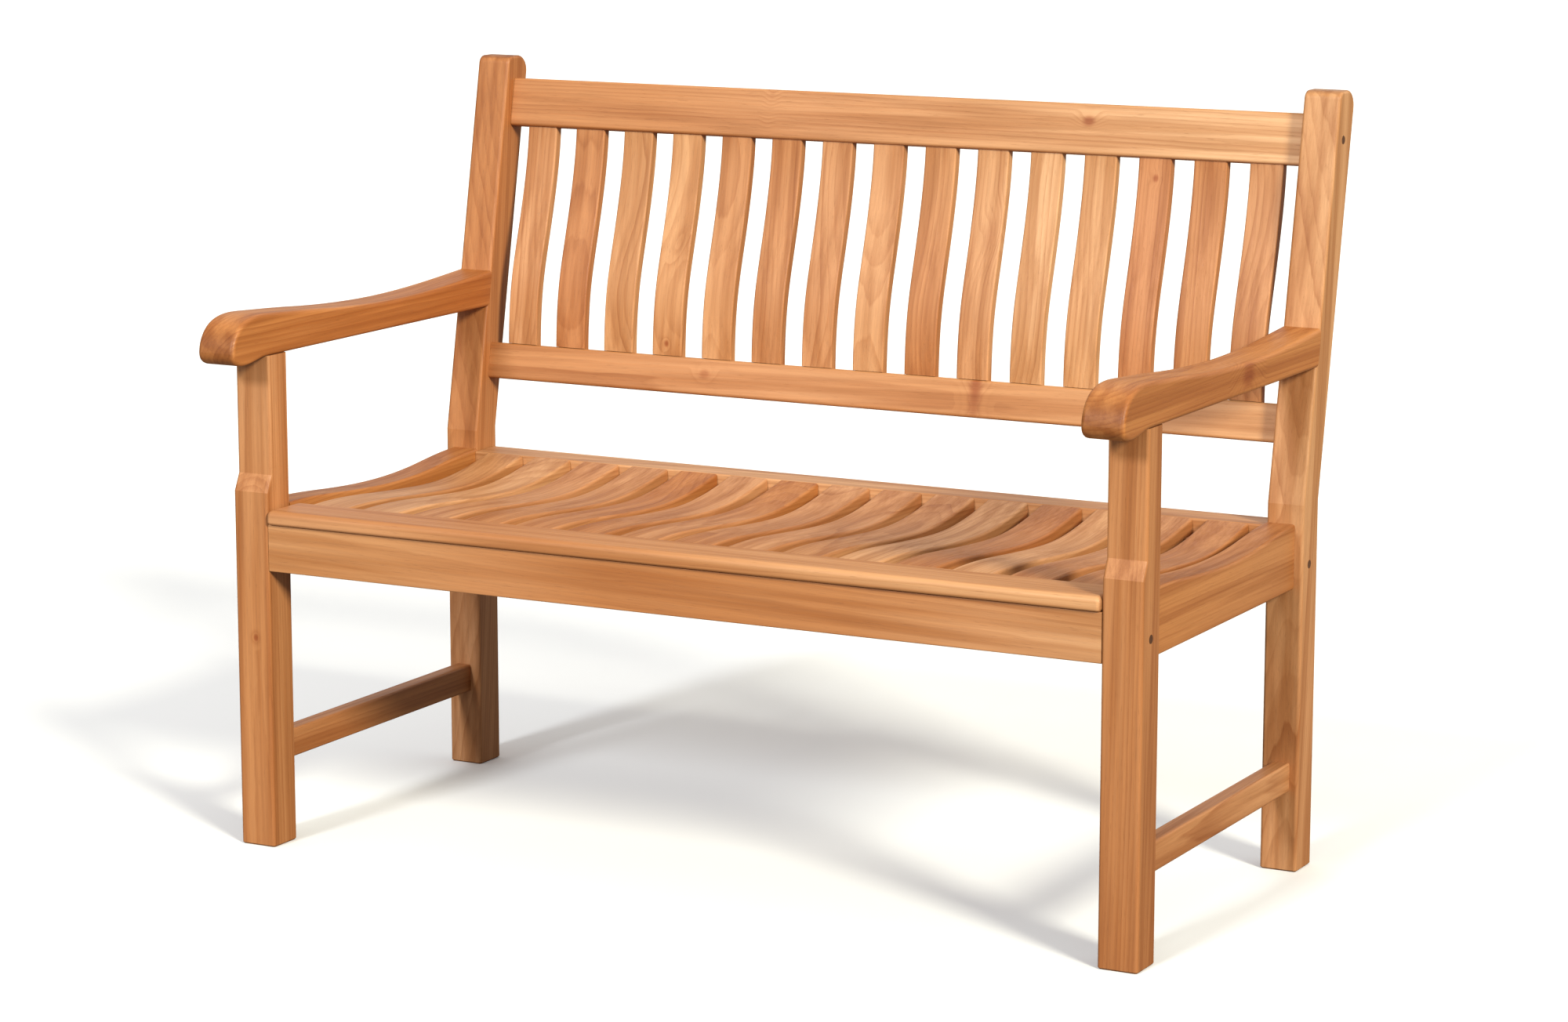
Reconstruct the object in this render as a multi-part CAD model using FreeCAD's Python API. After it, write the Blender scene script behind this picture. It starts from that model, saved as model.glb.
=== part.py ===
import FreeCAD, Part
import math
import os

# ---------------------------------------------------------------------------
# Two-seat slatted teak garden bench.  Millimetres, Z up, seat faces -Y.
# Pieces are drawn with Y = 0 on the front face of the front legs and are
# moved at the end so that the origin is under the middle of the bench.
# ---------------------------------------------------------------------------

# Overall
WIDTH = 1200.0            # outside to outside of the legs
FIT = 0.15                # clearance left around every tenon, dowel and butt
END_GAP = 0.5             # at each end of the front strip and the front bearer
SIDE_GAP = 0.2            # between the side rails and what runs across between them
NEAR = 0.6                # an edge this close to a face belongs to that face
LONG = 100.0              # an edge longer than this runs the length of its piece

# Legs
FRONT_LEG_X = 49.0
FRONT_LEG_Y = 49.0
SHOULDER_STEP = 10.0      # front face steps back above the seat
SHOULDER_LOW = 443.0
SHOULDER_HIGH = 464.0
REAR_LEG_X = 47.0
REAR_LEG_Y = 49.2
REAR_LEG_FRONT = 480.6    # front face of the rear legs, below the seat
REAR_LEG_TOP = 932.0
RAKE = 0.192              # backward lean of the posts, run over rise
KINK_Z = 449.0            # height where the rear leg starts to lean
LEG_ARRIS = 4.0
FOOT_CHAMFER = 2.0
POST_TOP_FRONT_R = 11.0
POST_TOP_REAR_R = 20.0

# Side frames
RAIL_LOW = 346.5
SIDE_RAIL_OUT = 11.0      # outer face set in from the outer face of the leg
SIDE_RAIL_X = 37.5
STRETCHER_X = 22.0
STRETCHER_LOW = 98.5
STRETCHER_H = 36.0
SIDE_ARRIS = 3.0          # on the long edges of rails and stretchers

# Front and rear aprons with the strips that cap them
APRON_Y = 22.0
APRON_SETBACK = 1.0
APRON_TOP = 404.5
APRON_ARRIS = 1.5
STRIP_GAP = 0.4           # between the apron and the strip on it
FRONT_STRIP_Y = 64.0
FRONT_STRIP_PROUD = 4.0
FRONT_STRIP_T = 17.6
STRIP_CORNER_R = 5.0
STRIP_NOSE_R = 7.0
STRIP_UNDER_R = 3.5
REAR_APRON_Y = 22.0
REAR_APRON_REAR = 526.0
REAR_STRIP_FRONT = 474.6
REAR_STRIP_REAR = 528.0
REAR_STRIP_T = 18.0
REAR_STRIP_EDGE_R = 2.0
REAR_STRIP_NOSE_R = 6.0

# Seat slats and the bearers under them
SLATS = 15
SLAT_PITCH = 72.25
SEAT_SLAT_W = 54.0
SEAT_SLAT_T = 18.0
SEAT_SLAT_ARRIS = 3.0
SEAT_SLAT_FRONT = 60.5
SEAT_SLAT_REAR = 474.0
SLAT_FRONT_FOOT = 18.0    # flat length that rests on the front bearer
SLAT_REAR_FOOT = 24.0
REAR_FOOT_CUT = 2.0       # extra thickness of the slat at its rear foot
BEARER_T = 22.5
BEARER_FRONT_Y = 76.0     # rear face of the front bearer
BEARER_REAR_Y = 452.0     # front face of the rear bearer
BEARER_CENTRE_Y = 340.0   # middle of the centre bearer, under the dip
BEARER_CENTRE_W = 38.0
SEAT_FRONT_Z = 419.8
SEAT_DIP_Z = 405.8
SEAT_REAR_Z = 422.8
SIDE_RAIL_END_Z = 424.5   # top of the side rails at the legs
SIDE_RAIL_DIP_Z = 413.0

# Back
BACK_SETBACK = 16.5       # rails behind the front face of the posts
BACK_RAIL_T = 22.0
BACK_RAIL_ARRIS = 4.0
TOP_RAIL_H0 = 404.0       # heights along the lean, from the kink
TOP_RAIL_H1 = 466.3
LOW_RAIL_H0 = 71.8
LOW_RAIL_H1 = 118.7
BACK_SLAT_W = 43.0
BACK_SLAT_T = 13.0
BACK_SLAT_ARRIS = 2.0
BACK_TENON_W = 35.0
BACK_TENON_T = 8.0
BACK_TENON_L = 12.0
LUMBAR = -5.8             # forward belly of the back slats
UPPER_BOW = 6.1           # backward bow of the back slats
LOW_SLAT_SET = 1.3        # front of the slats behind the front of each rail
TOP_SLAT_SET = 4.5

# Arms
ARM_W = 51.5
ARM_OUT = 2.0             # outer face proud of the legs
ARM_UNDER = 610.0
ARM_NOSE = -64.0
ARM_ARRIS = 5.0
ARM_REAR_H = 46.0         # height of the arm where it meets the post

# Joints
TENON_T = 11.0
TENON_L = 20.0
TENON_ROOT = 1.0          # how far a tenon reaches into its own bar
HOLE_SLACK = 0.5          # extra depth of the dowel holes and slat mortises
TENON_Z0 = 356.0
TENON_Z1 = 396.0
APRON_TENON_Y = 7.0       # front face of the front apron's tenon
REAR_APRON_TENON_Y = 510.0
SIDE_TENON_T = 12.0
STRETCHER_TENON_T = 9.0
STRETCHER_TENON_Z0 = 105.0
STRETCHER_TENON_Z1 = 128.0
ARM_TENON_X = 576.0       # middle of the tenon on top of the front leg
ARM_TENON_Y = 30.0
ARM_TENON_SIZE = 24.0
BACK_RAIL_TENON_Y = 21.5
TOP_TENON_SHOULDER = 9.0
LOW_TENON_SHOULDER = 8.0
PLUG_R = 5.0
PLUG_L = 8.0
PLUG_PROUD = 0.2
RAIL_PLUG_Z = 375.0
POST_PLUG_Z = 874.0
FRONT_PLUG_IN = 23.5      # plugs behind the front face of their leg
REAR_PLUG_IN = 21.4
POST_PLUG_IN = 21.0
DOWEL_R = 5.0
DOWEL_L = 44.0
ARM_DOWEL_Z = (622.0, 641.0)

HALF = WIDTH / 2.0
LEAN = math.atan(RAKE)


def box(x0, x1, y0, y1, z0, z1):
    corner = FreeCAD.Vector(min(x0, x1), y0, z0)
    return Part.makeBox(abs(x1 - x0), y1 - y0, z1 - z0, corner)


def grown(x0, x1, y0, y1, z0, z1):
    """The pocket for a tenon: the tenon box with the fit added all round."""
    return box(min(x0, x1) - FIT, max(x0, x1) + FIT, y0 - FIT, y1 + FIT, z0 - FIT, z1 + FIT)


def side_prism(points, x0, x1):
    """Solid with a straight-sided outline in the YZ plane."""
    wire = Part.makePolygon([FreeCAD.Vector(x0, y, z) for y, z in points + points[:1]])
    return Part.Face(wire).extrude(FreeCAD.Vector(x1 - x0, 0, 0))


def curve(points, x):
    spline = Part.BSplineCurve()
    spline.interpolate([FreeCAD.Vector(x, y, z) for y, z in points])
    return spline.toShape()


def line(a, b, x):
    return Part.makeLine(FreeCAD.Vector(x, a[0], a[1]), FreeCAD.Vector(x, b[0], b[1]))


def profile_solid(edges, x0, x1):
    return Part.Face(Part.Wire(edges)).extrude(FreeCAD.Vector(x1 - x0, 0, 0))


def ease(shape, radius, wanted):
    """Round over the edges whose middle point and direction pass the test."""
    picked = []
    for edge in shape.Edges:
        middle = edge.valueAt(0.5 * (edge.FirstParameter + edge.LastParameter))
        run = edge.Vertexes[-1].Point - edge.Vertexes[0].Point
        if edge.Length > 1.0 and wanted(middle, run):
            picked.append(edge)
    return shape.makeFillet(radius, picked)


def along_x(middle, run):
    return abs(run.x) > 0.9 * run.Length and run.Length > 1.0


def not_along_x(middle, run):
    return abs(run.x) < 0.1


def full_length(middle, run):
    return run.Length > LONG


def foot_chamfered(leg):
    return leg.makeChamfer(FOOT_CHAMFER, [e for e in leg.Edges if e.CenterOfMass.z < 0.001])


def mirrored(shape):
    return shape.mirror(FreeCAD.Vector(0, 0, 0), FreeCAD.Vector(1, 0, 0))


def leaned(shape):
    """From the flat back frame to the leaning posts.

    The flat frame has Y = 0 on the front face of the posts and Z = 0 at the
    kink, with Z running up the lean.
    """
    out = shape.copy()
    out.rotate(FreeCAD.Vector(0, 0, 0), FreeCAD.Vector(1, 0, 0), -math.degrees(LEAN))
    out.translate(FreeCAD.Vector(0, REAR_LEG_FRONT, KINK_Z))
    return out


def post_front(z):
    return REAR_LEG_FRONT + RAKE * (z - KINK_Z)


# ---------------------------------------------------------------------------
# Contours
# ---------------------------------------------------------------------------

# Top of the seat from front to rear: level, then a dip that rises to the back.
SEAT_LINE = [
    (SEAT_SLAT_FRONT, SEAT_FRONT_Z),
    (100.0, SEAT_FRONT_Z + 0.4),
    (140.0, SEAT_FRONT_Z - 1.0),
    (190.0, SEAT_DIP_Z + 9.2),
    (250.0, SEAT_DIP_Z + 4.2),
    (300.0, SEAT_DIP_Z + 1.0),
    (340.0, SEAT_DIP_Z),
    (385.0, SEAT_DIP_Z + 2.4),
    (430.0, SEAT_DIP_Z + 8.6),
    (SEAT_SLAT_REAR, SEAT_REAR_Z),
]

# Undersides of the slats where they rest.
SLAT_FRONT_Z = SEAT_FRONT_Z - SEAT_SLAT_T
SLAT_REAR_Z = SEAT_REAR_Z - SEAT_SLAT_T - REAR_FOOT_CUT


def seat_slat(x):
    """One S-curved slat, flat underneath at both ends where it is carried."""
    x0 = x - SEAT_SLAT_W / 2.0
    x1 = x + SEAT_SLAT_W / 2.0
    front_foot = (SEAT_SLAT_FRONT + SLAT_FRONT_FOOT, SLAT_FRONT_Z)
    rear_foot = (SEAT_SLAT_REAR - SLAT_REAR_FOOT, SLAT_REAR_Z)
    under = [front_foot] + [(y, z - SEAT_SLAT_T) for y, z in SEAT_LINE[1:-1]] + [rear_foot]
    edges = [
        curve(SEAT_LINE, x0),
        line(SEAT_LINE[-1], (SEAT_SLAT_REAR, SLAT_REAR_Z), x0),
        line((SEAT_SLAT_REAR, SLAT_REAR_Z), rear_foot, x0),
        curve(under, x0),
        line(front_foot, (SEAT_SLAT_FRONT, SLAT_FRONT_Z), x0),
        line((SEAT_SLAT_FRONT, SLAT_FRONT_Z), SEAT_LINE[0], x0),
    ]
    solid = profile_solid(edges, x0, x1)
    return ease(solid, SEAT_SLAT_ARRIS, lambda m, r: full_length(m, r) and m.z > SEAT_DIP_Z - NEAR)


# ---------------------------------------------------------------------------
# Tenon boxes, used both to make the tenon and to cut its mortise (right side)
# ---------------------------------------------------------------------------

FL_IN = HALF - FRONT_LEG_X
RL_IN = HALF - REAR_LEG_X
RAIL_X1 = HALF - SIDE_RAIL_OUT
RAIL_X0 = RAIL_X1 - SIDE_RAIL_X
SEAT_HALF = RAIL_X0 - SIDE_GAP
STR_X0 = RAIL_X1 - STRETCHER_X
RAIL_TX = 0.5 * (RAIL_X0 + RAIL_X1)
STR_TX = 0.5 * (STR_X0 + RAIL_X1)
REAR_APRON_FRONT = REAR_APRON_REAR - REAR_APRON_Y


def apron_tenon(leg_face, y0):
    return (leg_face, leg_face + TENON_L, y0, y0 + TENON_T, TENON_Z0, TENON_Z1)


def side_tenons(x, thickness, z0, z1):
    """Front and rear tenon of a side rail or stretcher centred at x."""
    x0 = x - thickness / 2.0
    x1 = x + thickness / 2.0
    front = (x0, x1, FRONT_LEG_Y - TENON_L, FRONT_LEG_Y, z0, z1)
    rear = (x0, x1, REAR_LEG_FRONT, REAR_LEG_FRONT + TENON_L, z0, z1)
    return front, rear


def back_tenon(h0, h1, shoulder):
    y0 = BACK_RAIL_TENON_Y
    return (RL_IN, RL_IN + TENON_L, y0, y0 + TENON_T, h0 + shoulder, h1 - shoulder)


def upright_tenon(x, y, size, z):
    half = size / 2.0
    return (x - half, x + half, y - half, y + half, z, z + size)


FRONT_APRON_TENON = apron_tenon(FL_IN, APRON_TENON_Y)
REAR_APRON_TENON = apron_tenon(RL_IN, REAR_APRON_TENON_Y)
SIDE_TENONS = side_tenons(RAIL_TX, SIDE_TENON_T, TENON_Z0, TENON_Z1)
STRETCHER_TENONS = side_tenons(STR_TX, STRETCHER_TENON_T, STRETCHER_TENON_Z0, STRETCHER_TENON_Z1)
ARM_TENON = upright_tenon(ARM_TENON_X, ARM_TENON_Y, ARM_TENON_SIZE, ARM_UNDER)
TOP_RAIL_TENON = back_tenon(TOP_RAIL_H0, TOP_RAIL_H1, TOP_TENON_SHOULDER)
LOW_RAIL_TENON = back_tenon(LOW_RAIL_H0, LOW_RAIL_H1, LOW_TENON_SHOULDER)


def plug(y, z):
    """Wooden plug let into the outer face of a right-hand leg."""
    base = FreeCAD.Vector(HALF - PLUG_L, y, z)
    return Part.makeCylinder(PLUG_R, PLUG_L + PLUG_PROUD, base, FreeCAD.Vector(1, 0, 0))


def plug_hole(y, z):
    base = FreeCAD.Vector(HALF - PLUG_L - FIT, y, z)
    return Part.makeCylinder(PLUG_R + FIT, 2.0 * PLUG_L, base, FreeCAD.Vector(1, 0, 0))


FRONT_PLUG = (FRONT_PLUG_IN, RAIL_PLUG_Z)
REAR_PLUG = (REAR_LEG_FRONT + REAR_PLUG_IN, RAIL_PLUG_Z)
POST_PLUG = (post_front(POST_PLUG_Z) + POST_PLUG_IN, POST_PLUG_Z)


def arm_dowel(z, radius, extra):
    """Dowel between arm and post, about half in each; extra lengthens its hole."""
    middle = HALF + ARM_OUT - ARM_W / 2.0
    half_length = DOWEL_L / 2.0 + extra
    base = FreeCAD.Vector(middle, post_front(z) - half_length, z)
    return Part.makeCylinder(radius, 2.0 * half_length, base, FreeCAD.Vector(0, 1, 0))


def cut_dowel_holes(shape):
    for z in ARM_DOWEL_Z:
        shape = shape.cut(arm_dowel(z, DOWEL_R + FIT, HOLE_SLACK))
    return shape


# ---------------------------------------------------------------------------
# Right-hand pieces of the side frames
# ---------------------------------------------------------------------------

def front_leg():
    outline = [
        (0.0, 0.0),
        (FRONT_LEG_Y, 0.0),
        (FRONT_LEG_Y, ARM_UNDER),
        (SHOULDER_STEP, ARM_UNDER),
        (SHOULDER_STEP, SHOULDER_HIGH),
        (0.0, SHOULDER_LOW),
    ]
    leg = side_prism(outline, FL_IN, HALF)
    shoulder = SHOULDER_HIGH - SHOULDER_LOW
    leg = ease(leg, LEG_ARRIS, lambda m, r: abs(r.z) > shoulder - NEAR)
    leg = foot_chamfered(leg)
    leg = leg.fuse(box(*ARM_TENON))
    for tenon in (FRONT_APRON_TENON, SIDE_TENONS[0], STRETCHER_TENONS[0]):
        leg = leg.cut(grown(*tenon))
    return leg.cut(plug_hole(*FRONT_PLUG))


def rear_leg():
    top_front = post_front(REAR_LEG_TOP)
    outline = [
        (REAR_LEG_FRONT, 0.0),
        (REAR_LEG_FRONT + REAR_LEG_Y, 0.0),
        (REAR_LEG_FRONT + REAR_LEG_Y, KINK_Z),
        (top_front + REAR_LEG_Y, REAR_LEG_TOP),
        (top_front, REAR_LEG_TOP),
        (REAR_LEG_FRONT, KINK_Z),
    ]
    leg = side_prism(outline, RL_IN, HALF)
    top = REAR_LEG_TOP - NEAR
    top_rear = top_front + REAR_LEG_Y
    leg = ease(leg, POST_TOP_FRONT_R, lambda m, r: m.z > top and m.y < top_front + NEAR)
    leg = ease(leg, POST_TOP_REAR_R, lambda m, r: m.z > top and m.y > top_rear - NEAR)
    leg = ease(leg, LEG_ARRIS, lambda m, r: not_along_x(m, r) and m.z > NEAR)
    leg = foot_chamfered(leg)
    for tenon in (REAR_APRON_TENON, SIDE_TENONS[1], STRETCHER_TENONS[1]):
        leg = leg.cut(grown(*tenon))
    for tenon in (TOP_RAIL_TENON, LOW_RAIL_TENON):
        leg = leg.cut(leaned(grown(*tenon)))
    leg = cut_dowel_holes(leg)
    leg = leg.cut(plug_hole(*REAR_PLUG))
    return leg.cut(plug_hole(*POST_PLUG))


def side_bar(bar, tenons):
    """Round the long edges of a bar between the legs and add its tenons."""
    bar = ease(bar, SIDE_ARRIS, full_length)
    for (x0, x1, y0, y1, z0, z1), root in zip(tenons, (TENON_ROOT, -TENON_ROOT)):
        bar = bar.fuse(box(x0, x1, y0 + min(root, 0.0), y1 + max(root, 0.0), z0, z1))
    return bar


def side_rail():
    y0 = FRONT_LEG_Y + FIT
    y1 = REAR_LEG_FRONT - FIT
    top = [
        (y0, SIDE_RAIL_END_Z),
        (110.0, SIDE_RAIL_END_Z - 1.2),
        (190.0, SIDE_RAIL_DIP_Z + 4.2),
        (285.0, SIDE_RAIL_DIP_Z),
        (370.0, SIDE_RAIL_DIP_Z + 3.4),
        (430.0, SIDE_RAIL_END_Z - 1.8),
        (y1, SIDE_RAIL_END_Z + 1.0),
    ]
    edges = [
        curve(top, RAIL_X0),
        line(top[-1], (y1, RAIL_LOW), RAIL_X0),
        line((y1, RAIL_LOW), (y0, RAIL_LOW), RAIL_X0),
        line((y0, RAIL_LOW), top[0], RAIL_X0),
    ]
    return side_bar(profile_solid(edges, RAIL_X0, RAIL_X1), SIDE_TENONS)


def stretcher():
    z1 = STRETCHER_LOW + STRETCHER_H
    bar = box(STR_X0, RAIL_X1, FRONT_LEG_Y + FIT, REAR_LEG_FRONT - FIT, STRETCHER_LOW, z1)
    return side_bar(bar, STRETCHER_TENONS)


def armrest():
    """Rolled nose in front of the leg, hollow in the middle, rising rearward."""
    x1 = HALF + ARM_OUT
    x0 = x1 - ARM_W
    under = ARM_UNDER + FIT
    top = ARM_UNDER + ARM_REAR_H
    rear_low = (post_front(under) - FIT, under)
    rear_high = (post_front(top) - FIT, top)
    tip = (ARM_NOSE, 621.0)
    upper = [
        rear_high,
        (455.0, 651.3),
        (380.0, 647.2),
        (300.0, 645.6),
        (220.0, 647.6),
        (150.0, 651.8),
        (80.0, 657.4),
        (25.0, 661.0),
        (-18.0, 661.5),
        (-46.0, 652.0),
        (-60.0, 636.0),
        tip,
    ]
    lower = [
        tip,
        (-59.0, 609.0),
        (-46.0, 604.6),
        (-22.0, 605.4),
        (8.0, under),
    ]
    edges = [
        curve(upper, x0),
        curve(lower, x0),
        line(lower[-1], rear_low, x0),
        line(rear_low, rear_high, x0),
    ]
    arm = profile_solid(edges, x0, x1)
    arm = ease(arm, ARM_ARRIS, lambda m, r: not_along_x(m, r) and r.Length > ARM_W)
    return cut_dowel_holes(arm.cut(grown(*ARM_TENON)))


# ---------------------------------------------------------------------------
# Pieces that run across the bench
# ---------------------------------------------------------------------------

def end_tenons(bar, tenon):
    """Add the tenon at the right-hand end and its mirror image at the left."""
    x0, x1, y0, y1, z0, z1 = tenon
    bar = bar.fuse(box(x0 - TENON_ROOT, x1, y0, y1, z0, z1))
    return bar.fuse(box(-x1, TENON_ROOT - x0, y0, y1, z0, z1))


def apron(half_length, y0, y1, z1, tenon):
    bar = box(-half_length + FIT, half_length - FIT, y0, y1, RAIL_LOW, z1)
    return end_tenons(ease(bar, APRON_ARRIS, along_x), tenon)


def front_apron():
    return apron(FL_IN, APRON_SETBACK, APRON_SETBACK + APRON_Y, APRON_TOP, FRONT_APRON_TENON)


def rear_apron():
    top = SEAT_REAR_Z - REAR_STRIP_T
    return apron(RL_IN, REAR_APRON_FRONT, REAR_APRON_REAR, top, REAR_APRON_TENON)


def front_strip():
    """Bullnosed board capping the front apron, rounded at its front corners."""
    half = FL_IN - END_GAP
    z0 = APRON_TOP + STRIP_GAP
    z1 = z0 + FRONT_STRIP_T
    face = -FRONT_STRIP_PROUD
    strip = box(-half, half, face, face + FRONT_STRIP_Y, z0, z1)
    strip = ease(strip, STRIP_CORNER_R, lambda m, r: not_along_x(m, r) and abs(r.y) < NEAR and m.y < 0.0)
    front = face + STRIP_CORNER_R + NEAR
    strip = ease(strip, STRIP_NOSE_R, lambda m, r: m.z > z1 - NEAR and m.y < front)
    strip = ease(strip, STRIP_UNDER_R, lambda m, r: m.z < z0 + NEAR and m.y < front)
    return ease(strip, APRON_ARRIS, lambda m, r: along_x(m, r) and m.z > z1 - NEAR and m.y > front)


def rear_strip():
    """Board over the rear apron, rounded along its rear edge."""
    z0 = SEAT_REAR_Z - REAR_STRIP_T + FIT
    z1 = z0 + REAR_STRIP_T
    strip = box(-SEAT_HALF, SEAT_HALF, REAR_STRIP_FRONT, REAR_STRIP_REAR, z0, z1)
    middle = (REAR_STRIP_FRONT + REAR_STRIP_REAR) / 2.0
    strip = ease(strip, REAR_STRIP_EDGE_R, lambda m, r: along_x(m, r) and m.z > z1 - NEAR and m.y < middle)
    return ease(strip, REAR_STRIP_NOSE_R, lambda m, r: along_x(m, r) and m.z > z1 - NEAR and m.y > middle)


def front_bearer():
    half = FL_IN - END_GAP
    z1 = SLAT_FRONT_Z - FIT
    y0 = APRON_SETBACK + APRON_Y + FIT
    return box(-half, half, y0, BEARER_FRONT_Y, z1 - BEARER_T, z1)


def rear_bearer():
    z1 = SLAT_REAR_Z - FIT
    return box(-SEAT_HALF, SEAT_HALF, BEARER_REAR_Y, REAR_APRON_FRONT - FIT, z1 - BEARER_T, z1)


def centre_bearer():
    z1 = SEAT_DIP_Z - SEAT_SLAT_T - FIT
    y0 = BEARER_CENTRE_Y - BEARER_CENTRE_W / 2.0
    return box(-SEAT_HALF, SEAT_HALF, y0, y0 + BEARER_CENTRE_W, z1 - BEARER_CENTRE_W, z1)


def slat_centres():
    return [SLAT_PITCH * (i - (SLATS - 1) / 2.0) for i in range(SLATS)]


def slat_tenon(x, h0, h1, y_middle, extra):
    half_w = BACK_TENON_W / 2.0 + extra
    half_t = BACK_TENON_T / 2.0 + extra
    return box(x - half_w, x + half_w, y_middle - half_t, y_middle + half_t, h0, h1)


# Middle of the slat thickness where it meets each back rail.
LOW_SLAT_Y = BACK_SETBACK + LOW_SLAT_SET + BACK_SLAT_T / 2.0
TOP_SLAT_Y = BACK_SETBACK + TOP_SLAT_SET + BACK_SLAT_T / 2.0


def back_rail(h0, h1, tenon, slat_y, slat_h0, slat_h1):
    """Rail between the posts, mortised from slat_h0 to slat_h1 for the slats."""
    y0 = BACK_SETBACK
    rail = box(-RL_IN + FIT, RL_IN - FIT, y0, y0 + BACK_RAIL_T, h0, h1)
    rail = ease(rail, BACK_RAIL_ARRIS, along_x)
    rail = end_tenons(rail, tenon)
    for x in slat_centres():
        rail = rail.cut(slat_tenon(x, slat_h0, slat_h1, slat_y, FIT))
    return leaned(rail)


def top_rail():
    open_end = TOP_RAIL_H0 - TENON_ROOT
    deep = TOP_RAIL_H0 + BACK_TENON_L + HOLE_SLACK
    return back_rail(TOP_RAIL_H0, TOP_RAIL_H1, TOP_RAIL_TENON, TOP_SLAT_Y, open_end, deep)


def low_rail():
    open_end = LOW_RAIL_H1 + TENON_ROOT
    deep = LOW_RAIL_H1 - BACK_TENON_L - HOLE_SLACK
    return back_rail(LOW_RAIL_H0, LOW_RAIL_H1, LOW_RAIL_TENON, LOW_SLAT_Y, deep, open_end)


def back_slat(x):
    """S-curved slat: belly forward at the lumbar, bowed backward above."""
    x0 = x - BACK_SLAT_W / 2.0
    low = LOW_RAIL_H1 + FIT
    high = TOP_RAIL_H0 - FIT
    rise = high - low
    front = [
        (LOW_SLAT_Y - BACK_SLAT_T / 2.0, low),
        (BACK_SETBACK + LUMBAR * 0.65, low + 0.13 * rise),
        (BACK_SETBACK + LUMBAR, low + 0.28 * rise),
        (BACK_SETBACK - 0.6, low + 0.50 * rise),
        (BACK_SETBACK + UPPER_BOW, low + 0.78 * rise),
        (TOP_SLAT_Y - BACK_SLAT_T / 2.0, high),
    ]
    rear = [(y + BACK_SLAT_T, h) for y, h in reversed(front)]
    edges = [
        curve(front, x0),
        line(front[-1], rear[0], x0),
        curve(rear, x0),
        line(rear[-1], front[0], x0),
    ]
    slat = profile_solid(edges, x0, x0 + BACK_SLAT_W)
    slat = ease(slat, BACK_SLAT_ARRIS, full_length)
    low_end = LOW_RAIL_H1 - BACK_TENON_L
    top_end = TOP_RAIL_H0 + BACK_TENON_L
    slat = slat.fuse(slat_tenon(x, low_end, low + TENON_ROOT, LOW_SLAT_Y, 0.0))
    slat = slat.fuse(slat_tenon(x, high - TENON_ROOT, top_end, TOP_SLAT_Y, 0.0))
    return leaned(slat)


# ---------------------------------------------------------------------------
# Assembly
# ---------------------------------------------------------------------------

def pair(pieces, name, shape):
    pieces[name + "_right"] = shape
    pieces[name + "_left"] = mirrored(shape)


def both_sides(shapes):
    return Part.makeCompound(shapes + [mirrored(s) for s in shapes])


def bench():
    pieces = {}
    pair(pieces, "front_leg", front_leg())
    pair(pieces, "rear_leg", rear_leg())
    pair(pieces, "side_rail", side_rail())
    pair(pieces, "stretcher", stretcher())
    pair(pieces, "armrest", armrest())
    pieces["front_apron"] = front_apron()
    pieces["rear_apron"] = rear_apron()
    pieces["seat_front_strip"] = front_strip()
    pieces["seat_rear_strip"] = rear_strip()
    pieces["seat_bearer_front"] = front_bearer()
    pieces["seat_bearer_rear"] = rear_bearer()
    pieces["seat_bearer_centre"] = centre_bearer()
    pieces["back_top_rail"] = top_rail()
    pieces["back_low_rail"] = low_rail()
    for number, x in enumerate(slat_centres(), 1):
        pieces["seat_slat_%02d" % number] = seat_slat(x)
        pieces["back_slat_%02d" % number] = back_slat(x)
    pieces["frame_plugs"] = both_sides([plug(*FRONT_PLUG), plug(*REAR_PLUG), plug(*POST_PLUG)])
    pieces["arm_dowels"] = both_sides([arm_dowel(z, DOWEL_R, 0.0) for z in ARM_DOWEL_Z])
    return pieces


def centred(pieces):
    """Move the bench so the origin is at the bottom centre of its extents."""
    whole = Part.makeCompound(list(pieces.values()))
    extents = whole.optimalBoundingBox(False)
    middle = 0.5 * (extents.YMin + extents.YMax)
    for shape in pieces.values():
        shape.translate(FreeCAD.Vector(0, -middle, 0))
    return middle


os.makedirs("parts", exist_ok=True)
PIECES = bench()
SHIFT = centred(PIECES)
for NAME in sorted(PIECES):
    PIECES[NAME].exportStep("parts/%s.step" % NAME)
print("pieces %d, moved %.2f mm in Y" % (len(PIECES), -SHIFT))
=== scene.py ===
import math
import random

import bpy
from mathutils import Euler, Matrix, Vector


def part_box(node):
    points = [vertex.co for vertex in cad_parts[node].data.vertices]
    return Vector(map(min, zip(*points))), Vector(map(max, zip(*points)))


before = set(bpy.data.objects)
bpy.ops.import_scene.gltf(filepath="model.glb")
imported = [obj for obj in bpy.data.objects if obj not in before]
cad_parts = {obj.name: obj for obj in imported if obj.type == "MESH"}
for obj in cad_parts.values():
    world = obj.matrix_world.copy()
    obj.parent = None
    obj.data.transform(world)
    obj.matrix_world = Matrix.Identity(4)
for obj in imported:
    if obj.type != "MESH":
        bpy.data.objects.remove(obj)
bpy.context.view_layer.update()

# ---------------------------------------------------------------------------
# A garden bench in solid teak.  Every piece keeps its CAD shape and gets its
# own board of wood, with growth rings round a pith and streaks along the
# grain.  Metres throughout.
# ---------------------------------------------------------------------------

LEAN = math.atan(0.192)           # backward lean of the back

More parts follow.
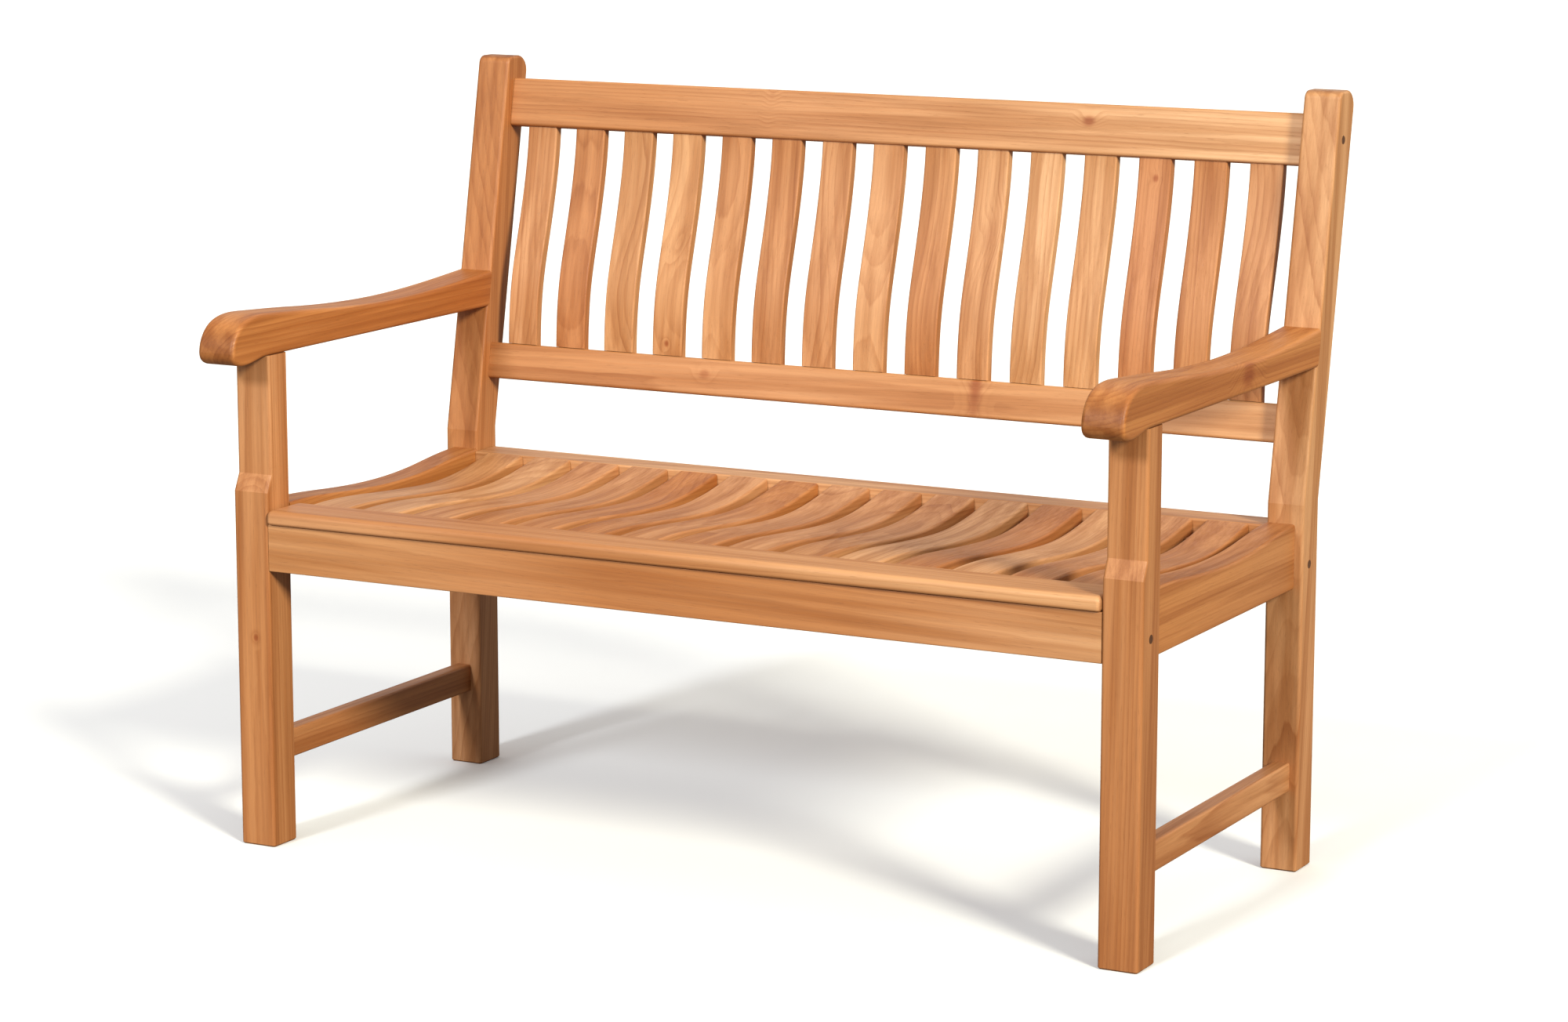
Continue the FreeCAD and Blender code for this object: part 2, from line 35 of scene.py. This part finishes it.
# How a board is cut from its tree
RING_GAP = 0.0052                 # width of one growth ring
BOARD_TILT = 0.022                # most that the pith leans from the grain, radians
PITH_NEAR = 0.045                 # nearest and furthest that the pith passes the
PITH_FAR = 0.110                  # middle of the board
BOARD_PLACE = 3.0                 # how far up or down the tree the board may lie
BOARD_SPIN = 6.28                 # a board may be turned any way round its grain
SLOW_WANDER = 0.020               # how far the rings stray, over a long reach
FAST_WANDER = 0.0036              # and over a short one

# Rings: how late the wood is through one year, then how fast the rings' strength
# changes with the years, the noise it follows, and the weakest and strongest
YEAR = [(0.0, 0.05), (0.45, 0.22), (0.80, 0.80), (0.92, 1.0), (1.0, 0.05)]
STRENGTH_CHANGE = 0.37
STRENGTH_SPAN = (0.30, 0.72)
STRENGTH = (0.12, 0.95)

# Figure: how much each is drawn out along the grain (less is longer), how
# fine it is, its detail and, where it is not 0.5, its roughness
SLOW_NOISE = (0.08, 11.0, 2.0)
FAST_NOISE = (0.12, 75.0, 2.0)
STREAK_NOISE = (0.030, 58.0, 2.0)
PATCH_NOISE = (0.16, 7.0, 3.0, 0.55)
FIBRE_NOISE = (0.020, 420.0, 3.0, 0.6)
PORE_NOISE = (0.045, 1150.0, 1.0)

# From which level of its noise each starts to show, and where it is full
STREAK_SPAN = (0.34, 0.66)
PATCH_SPAN = (0.42, 0.68)
FIBRE_SPAN = (0.25, 0.75)
PORE_SPAN = (0.62, 0.76)

# Knots
KNOT_STRETCH = 0.25               # part by which distance along the grain counts less
KNOT_BULGE = 0.55                 # how far the rings bend round a knot, over its reach
KNOT_HEART = (0.10, 0.42)         # where its colour starts to fade and ends, over its reach

# Surface: planed and lightly oiled
BUMP_STRENGTH = 0.30
BUMP_DEPTH = 0.00045
LATE_RISE = 0.30                  # late wood and fibres stand proud, pores are sunk
FIBRE_RISE = 0.55
PORE_SINK = 0.60
SMOOTH = 0.40                     # roughness at both ends of the fibres' span
ROUGH = 0.55
SPECULAR = 0.36
PORE_SHOW = 0.30                  # how much of the pores' colour shows
END_SHOW = 0.80                   # and of the sawn-across ends'
END_SPAN = (0.48, 0.92)           # how squarely a face cuts the grain, to start and in full


# ---------------------------------------------------------------------------
# Wood tones, as linear colour
# ---------------------------------------------------------------------------

TONES = {
    "s": (0.560, 0.292, 0.134),       # straw
    "h": (0.510, 0.248, 0.106),       # honey
    "a": (0.472, 0.212, 0.086),       # amber
    "r": (0.455, 0.186, 0.070),       # red
    "t": (0.415, 0.166, 0.056),       # tan
    "d": (0.365, 0.138, 0.044),       # deep
    "w": (0.425, 0.158, 0.042),       # warm
    "p": (0.625, 0.340, 0.160),       # pale
}
PLUG_TONE = (0.150, 0.065, 0.025)

# What the figure does to a tone, as factors on red, green and blue.
EARLY_WOOD = (1.06, 1.09, 1.13)
LATE_WOOD = (0.79, 0.69, 0.59)
PALE_STREAK = (1.10, 1.13, 1.17)
DARK_STREAK = (0.81, 0.71, 0.59)
PLAIN_PATCH = (1.03, 1.03, 1.03)
WARM_PATCH = (0.94, 0.86, 0.76)
FIBRE_SHADE = (1.06, 0.92)        # brightness at both ends of the fibres' span
END_GRAIN = (0.58, 0.50, 0.44)
KNOT = (0.66, 0.44, 0.33)
PORE = (0.50, 0.42, 0.36)

# One word per slat from left to right, and one per piece of the frame.  The
# letters of a word follow each other along the grain, from -X, -Y or below.
BACK_SLAT_TONES = "a ra h hs ha at a ha tah ah s s r t ta"
SEAT_SLAT_TONES = "h h a ta aw ta aw ta a ha h t h ta t"

FRAME_TONES = {
    "front_leg_left": "tta",
    "front_leg_right": "ddtt",
    # The rear legs' words are partly wood tone and partly painted light: low down, in under the
    # seat, their tones are set lighter than the wood alone, standing in for light from the front
    # reaching in there.
    "rear_leg_left": "aattt",
    "rear_leg_right": "aahhs",
    "side_rail_left": "w",
    "side_rail_right": "wt",
    "stretcher_left": "t",
    "stretcher_right": "ta",
    "armrest_left": "w",
    "armrest_right": "w",
    "front_apron": "hhatttah",
    "rear_apron": "a",
    "seat_front_strip": "aahs",
    "seat_rear_strip": "h",
    "seat_bearer_front": "a",
    "seat_bearer_rear": "a",
    "seat_bearer_centre": "a",
    "back_top_rail": "ttahsp",
    "back_low_rail": "tahs",
    "arm_dowels": "a",
}

# Knots: piece -> (place as fractions of the piece's box, direction, reach,
# depth of colour).  A small depth mostly bends the rings round the place.
KNOTS = {
    "back_top_rail": [
        ((0.736, 0.0, 0.68), (0.1, 1.0, 0.0), 0.021, 1.0),
        ((0.351, 0.0, 0.60), (0.1, 0.3, 1.0), 0.013, 0.45),
    ],
    "back_low_rail": [
        ((0.632, 0.0, 0.60), (0.0, 0.3, 1.0), 0.024, 1.0),
        ((0.298, 0.0, 0.61), (0.1, 1.0, 0.0), 0.020, 0.6),
    ],
    "front_leg_left": [((0.576, 0.0, 0.414), (0.1, 1.0, 0.0), 0.013, 1.0)],
    "armrest_right": [((1.0, 0.609, 0.48), (1.0, 0.3, 0.5), 0.045, 0.8)],
    "back_slat_04": [
        ((0.49, 0.4, 0.096), (0.0, 1.0, 0.0), 0.011, 1.0),
        ((0.66, 0.4, 0.52), (0.5, 1.0, 0.9), 0.015, 0.1),
    ],
    "back_slat_10": [((0.61, 0.4, 0.597), (0.4, 1.0, 0.9), 0.026, 0.15)],
    "back_slat_13": [((0.50, 0.6, 0.883), (0.2, 1.0, 0.0), 0.012, 0.9)],
}


class Graph:
    """Short names for the shader nodes of a material or of the world."""

    def __init__(self, owner):
        owner.use_nodes = True
        self.tree = owner.node_tree
        self.tree.nodes.clear()

    def add(self, kind, **settings):
        node = self.tree.nodes.new(kind)
        for key, value in settings.items():
            setattr(node, key, value)
        return node

    def plug(self, socket, value):
        if isinstance(value, bpy.types.NodeSocket):
            self.tree.links.new(value, socket)
        else:
            socket.default_value = value

    def math(self, operation, a, b=0.0):
        node = self.add("ShaderNodeMath", operation=operation)
        self.plug(node.inputs[0], a)
        self.plug(node.inputs[1], b)
        return node.outputs[0]

    def vector(self, operation, a, b=(0.0, 0.0, 0.0)):
        node = self.add("ShaderNodeVectorMath", operation=operation)
        self.plug(node.inputs[0], a)
        self.plug(node.inputs[1], b)
        return node.outputs["Value" if operation in ("LENGTH", "DOT_PRODUCT") else "Vector"]

    def noise(self, where, scale, detail=2.0, roughness=0.5):
        node = self.add("ShaderNodeTexNoise")
        self.plug(node.inputs["Vector"], where)
        node.inputs["Scale"].default_value = scale
        node.inputs["Detail"].default_value = detail
        node.inputs["Roughness"].default_value = roughness
        return node.outputs["Fac"]

    def spread(self, value, low, high, to_low=0.0, to_high=1.0, smooth=True):
        node = self.add("ShaderNodeMapRange")
        node.interpolation_type = "SMOOTHSTEP" if smooth else "LINEAR"
        self.plug(node.inputs["Value"], value)
        node.inputs["From Min"].default_value = low
        node.inputs["From Max"].default_value = high
        node.inputs["To Min"].default_value = to_low
        node.inputs["To Max"].default_value = to_high
        return node.outputs["Result"]

    def ramp(self, value, stops):
        node = self.add("ShaderNodeValToRGB")
        self.plug(node.inputs["Fac"], value)
        points = node.color_ramp.elements
        while len(points) < len(stops):
            points.new(0.5)
        for point, (place, rgb) in zip(points, stops):
            point.position = place
            point.color = (*rgb, 1.0)
        return node.outputs["Color"]

    def mix(self, factor, a, b, blend="MIX"):
        node = self.add("ShaderNodeMix", data_type="RGBA", blend_type=blend)
        self.plug(node.inputs[0], factor)
        self.plug(node.inputs[6], a)
        self.plug(node.inputs[7], b)
        return node.outputs[2]


def colour(rgb):
    return (rgb[0], rgb[1], rgb[2], 1.0)


def grey(level):
    return (level, level, level)


def wood_frame(centre, grain, rng):
    """Rotation and shift that bring the grain to Z and the pith to the axis."""
    to_z = grain.rotation_difference(Vector((0.0, 0.0, 1.0))).to_matrix()
    tilt_x = rng.uniform(-BOARD_TILT, BOARD_TILT)
    tilt_y = rng.uniform(-BOARD_TILT, BOARD_TILT)
    spin = rng.uniform(0.0, BOARD_SPIN)
    turn = Euler((tilt_x, tilt_y, spin)).to_matrix() @ to_z
    angle = rng.uniform(0.0, 2.0 * math.pi)
    reach = rng.uniform(PITH_NEAR, PITH_FAR)
    place = rng.uniform(-BOARD_PLACE, BOARD_PLACE)
    pith = Vector((reach * math.cos(angle), reach * math.sin(angle), place))
    return turn, pith - turn @ centre


def knotted(g, spots, radius, grain, knots):
    """Bend the rings round each knot; also gives where the knots' colour lies."""
    squeeze = tuple(1.0 - KNOT_STRETCH * abs(c) for c in grain)
    core = 0.0
    for spot, direction, reach, depth in knots:
        away = g.vector("MULTIPLY", g.vector("SUBTRACT", spots, tuple(spot)), squeeze)
        across = g.vector("LENGTH", g.vector("CROSS_PRODUCT", away, tuple(direction.normalized())))
        bulge = g.math("MULTIPLY", g.spread(across, 0.0, reach, 1.0, 0.0), KNOT_BULGE * reach)
        radius = g.math("ADD", radius, bulge)
        start, end = [part * reach for part in KNOT_HEART]
        core = g.math("MAXIMUM", core, g.spread(across, start, end, depth, 0.0))
    return radius, core


def growth_rings(g, radius):
    """How late in its year the wood is, 0 to 1, in rings of uneven strength."""
    turns = g.math("DIVIDE", radius, RING_GAP)
    ring = g.ramp(g.math("FRACT", turns), [(at, grey(level)) for at, level in YEAR])
    strength = g.add("ShaderNodeTexNoise", noise_dimensions="1D")
    g.plug(strength.inputs["W"], g.math("MULTIPLY", turns, STRENGTH_CHANGE))
    strength.inputs["Scale"].default_value = 1.0
    return g.math("MULTIPLY", ring, g.spread(strength.outputs["Fac"], *STRENGTH_SPAN, *STRENGTH))


def board_tone(g, spots, low, high, grain, tones):
    """The tones of the board's word, one after the other along the grain."""
    if len(tones) < 2:
        return colour(TONES.get(tones, PLUG_TONE))
    along = g.vector("DOT_PRODUCT", spots, tuple(grain))
    fraction = g.spread(along, low.dot(grain), high.dot(grain), smooth=False)
    last = len(tones) - 1.0
    return g.ramp(fraction, [(i / last, TONES[letter]) for i, letter in enumerate(tones)])


def teak(name, low, high, grain, tones, rng, knots):
    """Material of one board between two corners of its box."""
    material = bpy.data.materials.new(name)
    g = Graph(material)
    turn, shift = wood_frame((low + high) / 2.0, grain, rng)
    coords = g.add("ShaderNodeTexCoord")
    spots = coords.outputs["Object"]
    board = g.add("ShaderNodeMapping", vector_type="POINT")
    board.inputs["Location"].default_value = shift
    board.inputs["Rotation"].default_value = turn.to_euler()
    g.plug(board.inputs["Vector"], spots)
    place = board.outputs["Vector"]

    def along(squeeze, scale, detail, roughness=0.5):
        return g.noise(g.vector("MULTIPLY", place, (1.0, 1.0, squeeze)), scale, detail, roughness)

    # Growth rings that wander along the board.
    radius = g.vector("LENGTH", g.vector("MULTIPLY", place, (1.0, 1.0, 0.0)))
    radius = g.math("ADD", radius, g.math("MULTIPLY", along(*SLOW_NOISE), SLOW_WANDER))
    radius = g.math("ADD", radius, g.math("MULTIPLY", along(*FAST_NOISE), FAST_WANDER))
    radius, core = knotted(g, spots, radius, grain, knots)
    late = growth_rings(g, radius)

    # Tone along the board, then broad streaks, patches, fibres and open pores.
    streak = g.spread(along(*STREAK_NOISE), *STREAK_SPAN)
    patch = g.spread(along(*PATCH_NOISE), *PATCH_SPAN)
    fibre = along(*FIBRE_NOISE)
    pore = g.spread(along(*PORE_NOISE), *PORE_SPAN)

    def darken(wood, amount, factors):
        return g.mix(amount, wood, g.mix(1.0, wood, colour(factors), "MULTIPLY"))

    wood = board_tone(g, spots, low, high, grain, tones)
    wood = g.mix(1.0, wood, g.mix(late, colour(EARLY_WOOD), colour(LATE_WOOD)), "MULTIPLY")
    wood = g.mix(1.0, wood, g.mix(streak, colour(DARK_STREAK), colour(PALE_STREAK)), "MULTIPLY")
    wood = g.mix(1.0, wood, g.mix(patch, colour(PLAIN_PATCH), colour(WARM_PATCH)), "MULTIPLY")
    wood = g.mix(1.0, wood, g.spread(fibre, *FIBRE_SPAN, *FIBRE_SHADE), "MULTIPLY")
    wood = darken(wood, g.math("MULTIPLY", pore, PORE_SHOW), PORE)
    if knots:
        wood = darken(wood, core, KNOT)

    # Sawn-across faces show the ends of the fibres and drink more oil.
    facing = g.vector("DOT_PRODUCT", coords.outputs["Normal"], tuple(grain))
    cut = g.spread(g.math("ABSOLUTE", facing), *END_SPAN, 0.0, END_SHOW)
    wood = darken(wood, cut, END_GRAIN)

    height = g.math("MULTIPLY", late, LATE_RISE)
    height = g.math("ADD", height, g.math("MULTIPLY", fibre, FIBRE_RISE))
    height = g.math("SUBTRACT", height, g.math("MULTIPLY", pore, PORE_SINK))
    bump = g.add("ShaderNodeBump")
    bump.inputs["Strength"].default_value = BUMP_STRENGTH
    bump.inputs["Distance"].default_value = BUMP_DEPTH
    g.plug(bump.inputs["Height"], height)

    shader = g.add("ShaderNodeBsdfPrincipled")
    g.plug(shader.inputs["Base Color"], wood)
    g.plug(shader.inputs["Roughness"], g.spread(fibre, *FIBRE_SPAN, SMOOTH, ROUGH))
    g.plug(shader.inputs["Normal"], bump.outputs["Normal"])
    shader.inputs["Specular IOR Level"].default_value = SPECULAR
    out = g.add("ShaderNodeOutputMaterial")
    g.plug(out.inputs["Surface"], shader.outputs["BSDF"])
    return material


# ---------------------------------------------------------------------------
# One board per piece
# ---------------------------------------------------------------------------

def grain_of(node):
    if node == "frame_plugs":
        return Vector((1.0, 0.0, 0.0))
    if node.startswith("back_slat"):
        return Vector((0.0, math.sin(LEAN), math.cos(LEAN)))
    if node.startswith("rear_leg"):
        return Vector((0.0, math.sin(0.5 * LEAN), math.cos(0.5 * LEAN)))
    if node.startswith("front_leg"):
        return Vector((0.0, 0.0, 1.0))
    if node.startswith(("side_rail", "stretcher", "armrest", "seat_slat", "arm_dowels")):
        return Vector((0.0, 1.0, 0.0))
    return Vector((1.0, 0.0, 0.0))


def tones_of(node):
    if node.startswith("back_slat"):
        return BACK_SLAT_TONES.split()[int(node[-2:]) - 1]
    if node.startswith("seat_slat"):
        return SEAT_SLAT_TONES.split()[int(node[-2:]) - 1]
    return FRAME_TONES.get(node, "")


def knots_of(node, low, high):
    found = []
    for part, direction, reach, depth in KNOTS.get(node, []):
        spot = Vector([a + f * (b - a) for a, b, f in zip(low, high, part)])
        found.append((spot, Vector(direction), reach, depth))
    return found


for node, piece in sorted(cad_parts.items()):
    low, high = [Vector(corner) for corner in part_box(node)]
    rng = random.Random(node)
    knots = knots_of(node, low, high)
    material = teak("teak_" + node, low, high, grain_of(node), tones_of(node), rng, knots)
    for slot in piece.material_slots:
        slot.material = material


# ---------------------------------------------------------------------------
# Floor, light and camera
# ---------------------------------------------------------------------------

FLOOR_SIZE = 160.0
FLOOR_SEEN = (0.97, 0.97, 0.97)
FLOOR_BOUNCE = (0.18, 0.17, 0.16)

# World light: level all round, then rises: axis, where each starts and is full
# as a part of the direction's length, and gain.
ROOM_TINT = (1.0, 0.98, 0.95)
ROOM_LEVEL = 0.08
ROOM_RISES = [
    ("Z", 0.15, 0.90, 0.60),
    ("Y", 0.15, 0.90, 0.56),
    ("Y", -0.45, -0.95, 0.65),
]

# Softboxes: name, the way the light travels, level, width in degrees and tint.
SOFTBOXES = [
    ("front_light", (0.11, 1.0, -0.50), 0.54, 9.0, (0.96, 1.02, 1.06)),
    ("side_light", (-0.774, 0.447, -0.447), 1.14, 12.0, (0.99, 0.97, 0.82)),
]

LENS = 97.306                     # millimetres
SENSOR_WIDTH = 36.0               # millimetres
CAMERA_PLACE = (2.3711, -4.4433, 1.3582)
CAMERA_DOWN = 0.1834              # radians below level
CAMERA_TURN = 0.48828             # radians left of straight ahead


def pale_floor():
    """A floor that is near white to look at, and sends less light up than white card would."""
    bpy.ops.mesh.primitive_plane_add(size=FLOOR_SIZE, location=(0.0, 0.0, 0.0))
    floor = bpy.context.object
    floor.name = "floor"
    material = bpy.data.materials.new("pale_floor")
    g = Graph(material)
    seen = g.add("ShaderNodeBsdfDiffuse")
    seen.inputs["Color"].default_value = colour(FLOOR_SEEN)
    bounced = g.add("ShaderNodeBsdfDiffuse")
    bounced.inputs["Color"].default_value = colour(FLOOR_BOUNCE)
    path = g.add("ShaderNodeLightPath")
    choice = g.add("ShaderNodeMixShader")
    g.plug(choice.inputs[0], path.outputs["Is Camera Ray"])
    g.plug(choice.inputs[1], bounced.outputs["BSDF"])
    g.plug(choice.inputs[2], seen.outputs["BSDF"])
    out = g.add("ShaderNodeOutputMaterial")
    g.plug(out.inputs["Surface"], choice.outputs["Shader"])
    floor.data.materials.append(material)


def room_light():
    """Light from all round: dim, but brighter from above, the front and the back."""
    world = bpy.data.worlds.new("studio")
    bpy.context.scene.world = world
    g = Graph(world)
    coords = g.add("ShaderNodeTexCoord")
    parts = g.add("ShaderNodeSeparateXYZ")
    g.plug(parts.inputs[0], coords.outputs["Generated"])
    total = ROOM_LEVEL
    for axis, start, full, gain in ROOM_RISES:
        total = g.math("ADD", g.spread(parts.outputs[axis], start, full, 0.0, gain), total)
    back = g.add("ShaderNodeBackground")
    back.inputs["Color"].default_value = colour(ROOM_TINT)
    g.plug(back.inputs["Strength"], total)
    out = g.add("ShaderNodeOutputWorld")
    g.plug(out.inputs["Surface"], back.outputs["Background"])


def softbox(name, towards, level, width, tint):
    """A distant soft light; level 1 lights a facing surface fully."""
    lamp = bpy.data.lights.new(name, "SUN")
    lamp.energy = math.pi * level
    lamp.color = tint
    lamp.angle = math.radians(width)
    piece = bpy.data.objects.new(name, lamp)
    bpy.context.scene.collection.objects.link(piece)
    piece.rotation_mode = "QUATERNION"
    piece.rotation_quaternion = Vector(towards).to_track_quat("-Z", "Y")


def camera():
    lens = bpy.data.cameras.new("camera")
    lens.sensor_width = SENSOR_WIDTH
    lens.lens = LENS
    view = bpy.data.objects.new("camera", lens)
    bpy.context.scene.collection.objects.link(view)
    view.location = CAMERA_PLACE
    view.rotation_euler = (math.pi / 2.0 - CAMERA_DOWN, 0.0, CAMERA_TURN)
    bpy.context.scene.camera = view


pale_floor()
room_light()
for settings in SOFTBOXES:
    softbox(*settings)
camera()
bpy.context.scene.view_settings.view_transform = "Standard"
